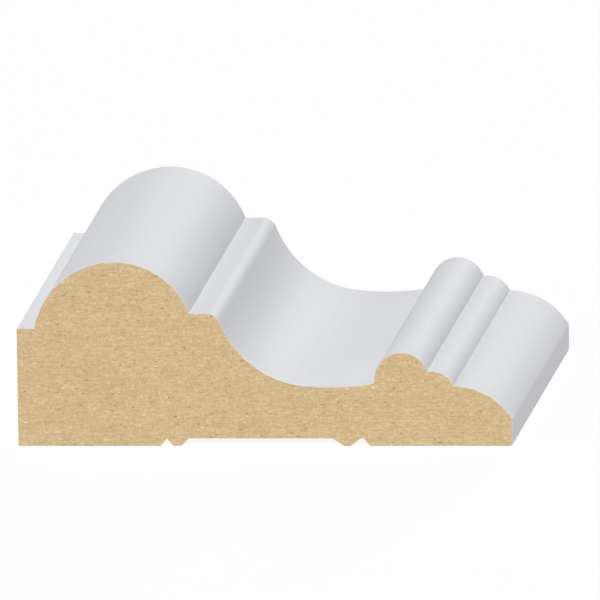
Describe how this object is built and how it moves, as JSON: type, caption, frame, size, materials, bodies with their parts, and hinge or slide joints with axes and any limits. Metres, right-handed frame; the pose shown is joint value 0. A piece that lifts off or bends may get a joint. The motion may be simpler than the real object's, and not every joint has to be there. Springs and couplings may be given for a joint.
{
  "type": "casing moulding",
  "caption": "Square-cut length of primed fibreboard door casing: lip, large half-round bead, fillet, cove, small stepped beads and ovolo on the face, with a relieved, grooved back.",
  "frame": {"origin": "middle of the back plane, which bears on the wall, halfway along the length", "axes": "+X across the width from the thick outer edge to the thin inner edge, +Y along the length, +Z away from the wall"},
  "size_m": [0.0858, 0.0382, 0.0317],
  "materials": {
    "primed_fibreboard": "satin white primer on the face and both edges, raw sawn fibreboard on the ends and back"
  },
  "bodies": {
    "root": {"casing": "primed_fibreboard"}
  },
  "joints": []
}
